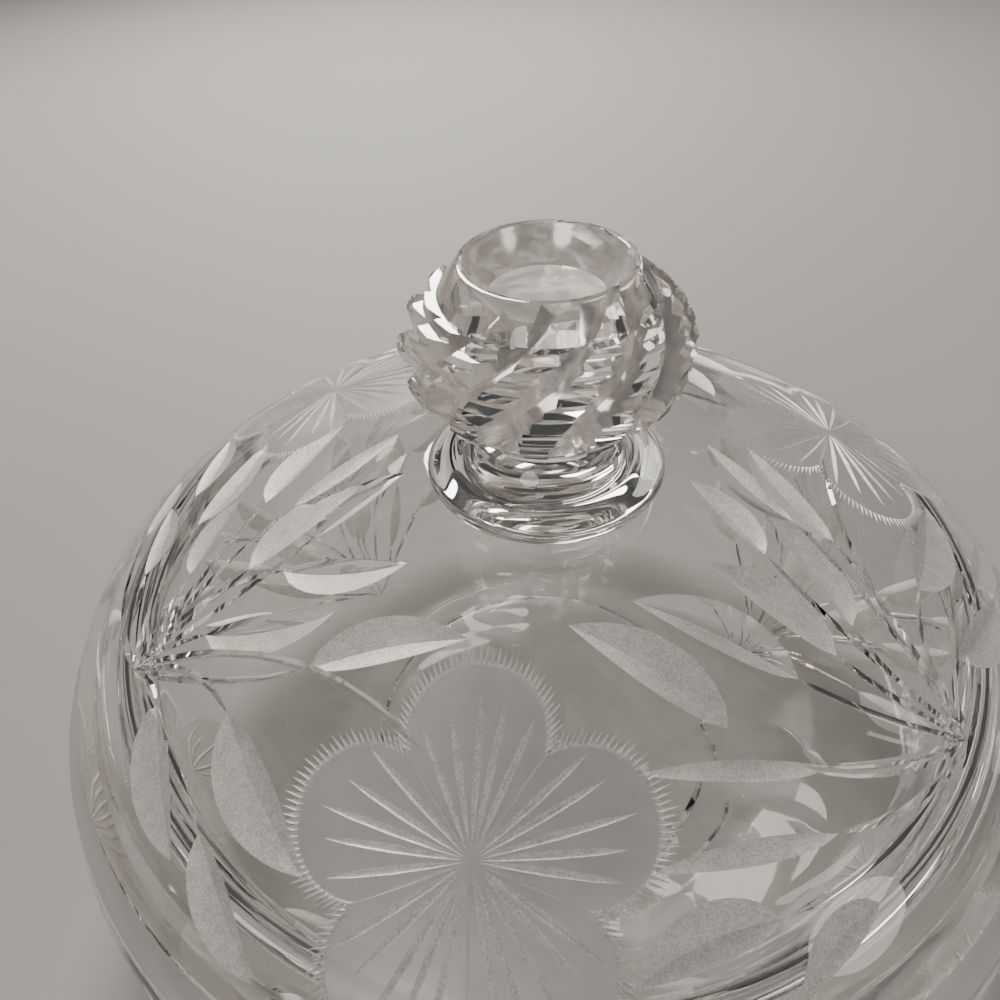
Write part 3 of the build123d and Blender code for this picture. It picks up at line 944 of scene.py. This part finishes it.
class DISH_OT_bowl(bpy.types.Operator):
    """Adds the bowl: engraved sides, a plain inside and a ground ring under its base"""

    bl_idname = "dish.bowl"
    bl_label = "Bowl"

    def execute(self, context):
        sizes, look = settings().bowl, settings().engraving
        side = bowl_side(sizes, 24)
        belly = sum((b - a).length for a, b in zip(side[:24], side[1:25]))
        face = RoundFace(side, BELLY + belly, -1)
        height = face.height_reach(BOWL_FLOWER_HEIGHT * MM)
        flowers = [Flower(polar(height, 52 + turned), look, 180, BOWL_FLOWER_SCALE) for turned in REPEATS]
        cuts = [cut for flower in flowers for cut in flower.cuts]
        for turned in REPEATS:
            for hand in (-1, 1):
                leaves = [(base, tip, 3 - p if p and hand > 0 else p) for base, tip, p in BOWL_LEAVES]

                def place(at):
                    return polar(face.height_reach(at[0] * MM), -8 + turned + hand * at[1])

                cuts += spray(place, BOWL_ROOT, leaves, look)
        band = face.height_reach(RIM_HEIGHT - sizes.ground_band)
        bands = [(band, face.high, SATIN)]
        skin = engrave("bowl_side", face, cuts, flowers, look.grid * 1.2, look.steps, bands)
        inside = lathe("bowl_inside", self.inside(sizes), look.steps)
        base = lathe("bowl_base", self.base(sizes), look.steps)
        obj = join("engraved_bowl", [skin, inside, base])
        finish_piece(smooth_engraved(obj, 32), "bowl", "dish_bowl")
        return {"FINISHED"}

    @staticmethod
    def inside(sizes):
        """From the outer edge of the rim, over it and down the inner face to the axis."""
        belly = (BELLY - sizes.wall, RIM_HEIGHT - sizes.belly_drop)
        mouth = (sizes.mouth_radius, RIM_HEIGHT - sizes.mouth_depth)
        upper = arc(belly, mouth, (0, 1), 8)
        outer = arc((BELLY, belly[1]), (sizes.side_radius, sizes.side_height), (0, -1), 16)
        slope = end_slope(outer).normalized()
        turned = outer[-1] + Vector((slope.y, -slope.x)) * sizes.wall
        side = arc(belly, turned, (0, -1), 12)
        skirt = arc(side[-1], (sizes.floor_radius, sizes.floor), end_slope(side), 14)
        edge = (sizes.rim_radius, RIM_HEIGHT)
        corner = (sizes.mouth_radius, RIM_HEIGHT)
        lip = rounded(edge, corner, mouth, 0.0006)
        floor = [(skirt[-1].x * (1 - i / 6), sizes.floor) for i in range(1, 7)]
        return [edge, *lip, *upper[::-1], *side[1:], *skirt[1:], *floor]

    @staticmethod
    def base(sizes):
        """The ground ring that the bowl stands on, and the hollow inside it."""
        inner = sizes.base_radius - sizes.base_ring
        return [
            (sizes.base_radius, 0),
            (sizes.base_radius - sizes.base_ring / 2, 0),
            (inner, 0),
            (inner - sizes.base_hollow, sizes.base_hollow),
            (inner / 2, sizes.base_hollow),
            (0, sizes.base_hollow),
        ]


class DISH_OT_dome(bpy.types.Operator):
    """Adds the lid's dome: an engraved outside, a plain inside, a flat seat and a lip"""

    bl_idname = "dish.dome"
    bl_label = "Dome of the Lid"

    def execute(self, context):
        sizes, look, knob = settings().lid, settings().engraving, settings().knob
        face = RoundFace(dome_face(sizes, 40), 0.0, 1)
        flowers = [Flower(self.spot(face, place), look, FLOWER_TURN) for place in FLOWER_PLACES]
        cuts = [cut for flower in flowers for cut in flower.cuts]
        sprays = ((LEFT_ROOT, LEFT_LEAVES, 0), (RIGHT_ROOT, RIGHT_LEAVES, 0), (LEFT_ROOT, LEFT_LEAVES, -120))
        for root, leaves, turned in sprays:
            cuts += spray(lambda at: self.spot(face, at, turned), root, leaves, look)
        cuts += [self.flower_stem(face, turned) for turned in REPEATS]
        bands = [(0.0, face.chart_reach(FOOT_RADIUS - knob.foot_edge / 2), FUSED)]
        skin = engrave("dome_face", face, cuts, flowers, look.grid, look.steps, bands)
        inside = lathe("dome_inside", self.inside(sizes), look.steps)
        obj = join("engraved_dome", [skin, inside])
        finish_piece(smooth_engraved(obj, 32), "lid", "lid_dome")
        return {"FINISHED"}

    @staticmethod
    def spot(face, at, turned=0):
        return polar(face.chart_reach(at[0] * MM), at[1] + turned)

    def flower_stem(self, face, turned):
        """The stem from the left spray's root to the notch between two petals."""
        root, notch = self.spot(face, LEFT_ROOT, turned), self.spot(face, (58.8, -17.5), turned)
        heading = polar(0.065, -13 + turned) - polar(0.058, -26 + turned)
        return stem(root, notch, heading, width=0.0007)

    @staticmethod
    def inside(sizes):
        """From the top of the rim's land, round its edge, seat and lip, and along the inner face."""
        inner, outer = sizes.lip_radius - sizes.lip_width, sizes.lip_radius
        seat, foot = RIM_HEIGHT + sizes.seat_gap, RIM_HEIGHT - sizes.lip_depth
        land = (LID_RADIUS, RIM_HEIGHT + sizes.rim_land)
        drop, slope = crown_turn(sizes)
        ratio = (sizes.crown_radius - sizes.wall) / sizes.crown_radius
        centre = DOME_TOP - sizes.crown_radius
        turn_point = (sizes.crown_edge * ratio, centre + (sizes.crown_radius - drop) * ratio)
        skirt = arc(turn_point, (inner, RIM_HEIGHT + sizes.rim_land), slope, 12)
        crown = arc((0, DOME_TOP - sizes.wall), turn_point, (1, 0), 30)
        return [
            land,
            *rounded(land, (LID_RADIUS, seat), (outer, seat), 0.0005),
            (outer, seat),
            *rounded((outer, seat), (outer, foot), (inner, foot), 0.001),
            *rounded((outer, foot), (inner, foot), (inner, seat), 0.001),
            *skirt[::-1],
            *crown[-2::-1],
        ]


class DISH_OT_foot(bpy.types.Operator):
    """Adds the knob's foot, a disc with a round edge that follows the dome"""

    bl_idname = "dish.foot"
    bl_label = "Foot of the Knob"

    def execute(self, context):
        knob, lid, look = settings().knob, settings().lid, settings().engraving
        inner = FOOT_RADIUS - knob.foot_edge / 2
        low = DOME_TOP - lid.crown_radius + sqrt(lid.crown_radius**2 - inner**2)
        edge = arc((inner, low), (inner, low + knob.foot_edge), (1, 0), 10)
        rise = arc(edge[-1], (knob.neck_radius, NECK_SEAT), (-1, knob.foot_slope), 14)
        under = arc((0, DOME_TOP), (inner, low), (1, 0), 8)
        obj = lathe("knob_foot_disc", [*under, *edge[1:], *rise[1:], *stem_seat(knob)], look.steps)
        for polygon in obj.data.polygons:
            if hypot(*polygon.center.xy) < knob.stem_radius and polygon.center.z > NECK_SEAT - 0.0005:
                polygon.material_index = FUSED
        finish_piece(smooth(weld(obj), 32), "lid", "knob_foot")
        return {"FINISHED"}


class DISH_OT_knob(bpy.types.Operator):
    """Adds the knob, turned with ladder grooves and a hollow top, and cut with swirls"""

    bl_idname = "dish.knob"
    bl_label = "Cut Knob"

    def execute(self, context):
        knob, cuts = settings().knob, settings().cuts
        obj = weld(lathe("swirl_cut_knob", self.outline(knob, cuts), 240))
        cutter = join("swirl_cutter", [self.cutter(knob, cuts, i) for i in range(cuts.count)])
        cutter.data.polygons.foreach_set("material_index", [FACET] * len(cutter.data.polygons))
        activate(obj)
        bpy.ops.object.modifier_add(type="BOOLEAN")
        modifier = obj.modifiers[-1]
        modifier.operation, modifier.solver, modifier.object = "DIFFERENCE", "EXACT", cutter
        bpy.ops.object.modifier_apply(modifier=modifier.name)
        bpy.data.objects.remove(cutter)
        for polygon in obj.data.polygons:
            far, height = hypot(*polygon.center.xy), polygon.center.z
            if far < knob.stem_radius and height < NECK_SEAT + 0.0002 and abs(polygon.normal.z) > 0.9:
                polygon.material_index = FUSED
            if far < knob.top_radius - knob.top_lip and height > KNOB_TOP - knob.hollow_depth * 1.02:
                polygon.material_index = FACET
        finish_piece(smooth(obj, 24), "lid", "lid_knob")
        return {"FINISHED"}

    @staticmethod
    def on_ball(knob, unit):
        """Place and outward normal on the ball in that direction from its middle, in two or three axes."""
        sizes = [knob.ball_radius] * len(unit)
        sizes[-1] = knob.ball_rise if unit[-1] >= 0 else knob.ball_drop
        place = Vector([share * size for share, size in zip(unit, sizes)])
        place[-1] += DOME_TOP + knob.equator
        return place, Vector([share / size for share, size in zip(unit, sizes)]).normalized()

    def outline(self, knob, cuts):
        """From the bottom of the hollow over the lip and down the ladder to the bottom of the stem."""

        def ball(angle, inset=0.0):
            place, out = self.on_ball(knob, (cos(angle), sin(angle)))
            return place - out * inset

        hollow_edge, top_edge = (knob.top_radius - knob.top_lip, KNOB_TOP), (knob.top_radius, KNOB_TOP)
        floor_edge = (knob.hollow_floor, KNOB_TOP - knob.hollow_depth * 0.93)
        floor = arc((0, KNOB_TOP - knob.hollow_depth), floor_edge, (1, 0), 7)
        wall = arc(floor_edge, hollow_edge, (0.9, 1.0), 8)
        band_angle = acos(knob.band_radius / knob.ball_radius)
        top = rounded(wall[-2], hollow_edge, top_edge, 0.0003, 2)
        shoulder = rounded(hollow_edge, top_edge, ball(band_angle), 0.0004, 2)
        out = [*floor, *wall[1:-1], *top, *shoulder, ball(band_angle)]
        angle = band_angle - cuts.ring_step / 2
        while angle > cuts.last_ring:
            out += [ball(angle, cuts.ring_depth), ball(angle - cuts.ring_step / 2)]
            angle -= cuts.ring_step
        out.append(ball(-acos(knob.stem_radius / knob.ball_radius)))
        return [*out, *stem_seat(knob)]

    def cutter(self, knob, cuts, index):
        """The wheel's path of one swirl cut: a long wedge, deepest in its middle, that leaves the ball at
        both ends."""
        steps = 26
        lean = Matrix.Rotation(-cuts.tilt, 3, "Y")
        middle, reach = (cuts.top + cuts.bottom) / 2, (cuts.top - cuts.bottom) / 2
        turn, bend = (cuts.turn_up + cuts.turn_down) / 2, (cuts.turn_up - cuts.turn_down) / 2
        first = cuts.first + 2 * pi * index / cuts.count

        def spot(station):
            angle = middle + reach * station
            around = turn * station + bend * station**2 + first
            unit = lean @ Vector((cos(angle) * cos(around), cos(angle) * sin(around), sin(angle)))
            return self.on_ball(knob, unit)

        points, faces = [], []
        for i in range(steps + 1):
            station = 2 * i / steps - 1
            place, out = spot(station)
            along = (spot(station + 0.01)[0] - spot(station - 0.01)[0]).normalized()
            across = out.cross(along).normalized()
            swell = (cuts.depth + cuts.run_out - cuts.lighten * station) * (1 - abs(station) ** 6)
            depth = swell - cuts.run_out
            clear = cuts.clear + cuts.top_clear * max(station, 0) ** 2
            left, right = [(depth + clear) * tan(cuts.half_angle + side * cuts.lean) for side in (1, -1)]
            top = place + out * clear
            points += [place - out * depth, top + across * left, top - across * right]
        for i in range(steps):
            for k in range(3):
                a, b = 3 * i + k, 3 * i + (k + 1) % 3
                faces.append((a, b, b + 3, a + 3))
        faces += [(0, 2, 1), (3 * steps, 3 * steps + 1, 3 * steps + 2)]
        return mesh_object("swirl", [tuple(point) for point in points], faces)


class DISH_OT_stage(bpy.types.Operator):
    """Adds the floor, the soft lights and the camera"""

    bl_idname = "dish.stage"
    bl_label = "Stage"

    def execute(self, context):
        look = settings().stage
        deselect()
        bpy.ops.mesh.primitive_circle_add(vertices=64, radius=4.0, fill_type="NGON", location=(0, 0, -0.0002))
        floor = bpy.context.object
        floor.name = "studio_floor"
        bpy.ops.object.transform_apply(location=True, rotation=True, scale=True)
        floor.data.materials.append(floor_material(look))
        world = bpy.data.worlds.new("studio_room")
        context.scene.world = world
        world.use_nodes = True
        background = world.node_tree.nodes["Background"]
        background.inputs["Color"].default_value = (0.95, 0.97, 1.0, 1)
        background.inputs["Strength"].default_value = look.world
        self.lamp("key_lamp", (-0.22, 0.92, 0.80), 0.36, look.key)
        self.lamp("front_softbox", (-0.40, -0.95, 0.62), 0.50, look.fill)
        self.lamp("side_softbox", (0.95, -0.60, 0.55), 0.40, look.fill * 0.5)
        self.camera(context)
        cycles = context.scene.cycles
        cycles.max_bounces = cycles.transmission_bounces = 20
        cycles.glossy_bounces, cycles.diffuse_bounces = 8, 4
        return {"FINISHED"}

    @staticmethod
    def lamp(name, place, width, power):
        """A round soft lamp that points at the dish."""
        aim = Vector((0, 0, 0.08)) - Vector(place)
        turned = aim.to_track_quat("-Z", "Y").to_euler()
        bpy.ops.object.light_add(type="AREA", location=place, rotation=turned)
        lamp = bpy.context.object
        lamp.name = lamp.data.name = name
        lamp.data.shape, lamp.data.size = "DISK", width
        lamp.data.energy, lamp.data.color = power, (1.0, 0.955, 0.90)

    @staticmethod
    def camera(context):
        """The photograph's place and angle."""
        focal_pixels, frame_pixels, sensor = 780.0, 1000.0, 36.0
        pitch, yaw, roll = 0.752, -0.079, -0.045
        bpy.ops.object.camera_add()
        camera = bpy.context.object
        camera.name = "photo_camera"
        camera.matrix_world = (
            Matrix.Translation((0.0, -0.1141, DOME_TOP + 0.09585))
            @ Matrix.Rotation(-yaw, 4, "Z")
            @ Matrix.Rotation(pi / 2 - pitch, 4, "X")
            @ Matrix.Rotation(roll, 4, "Z")
        )
        camera.data.sensor_width = sensor
        camera.data.lens = focal_pixels / frame_pixels * sensor
        camera.data.clip_start = 0.005
        context.scene.camera = camera


class DISH_PT_panel(bpy.types.Panel):
    """Lists the pieces of the dish"""

    bl_idname = "DISH_PT_panel"
    bl_label = "Covered Dish"
    bl_space_type = "VIEW_3D"
    bl_region_type = "UI"
    bl_category = "Covered Dish"

    def draw(self, context):
        for operator in OPERATORS:
            self.layout.operator(operator.bl_idname)


GROUPS = (BowlSizes, LidSizes, KnobSizes, KnobCuts, Engraving, GlassLook, StageLook, CoveredDishSettings)
OPERATORS = (DISH_OT_stage, DISH_OT_bowl, DISH_OT_dome, DISH_OT_foot, DISH_OT_knob)


def register():
    for group in (*GROUPS, *OPERATORS, DISH_PT_panel):
        bpy.utils.register_class(group)
    bpy.types.Scene.covered_dish = bpy.props.PointerProperty(type=CoveredDishSettings)


def unregister():
    del bpy.types.Scene.covered_dish
    for group in reversed((*GROUPS, *OPERATORS, DISH_PT_panel)):
        bpy.utils.unregister_class(group)


def main():
    register()
    deselect()
    bpy.ops.dish.stage()
    bpy.ops.dish.bowl()
    bpy.ops.dish.dome()
    bpy.ops.dish.foot()
    bpy.ops.dish.knob()


if __name__ == "__main__":
    main()
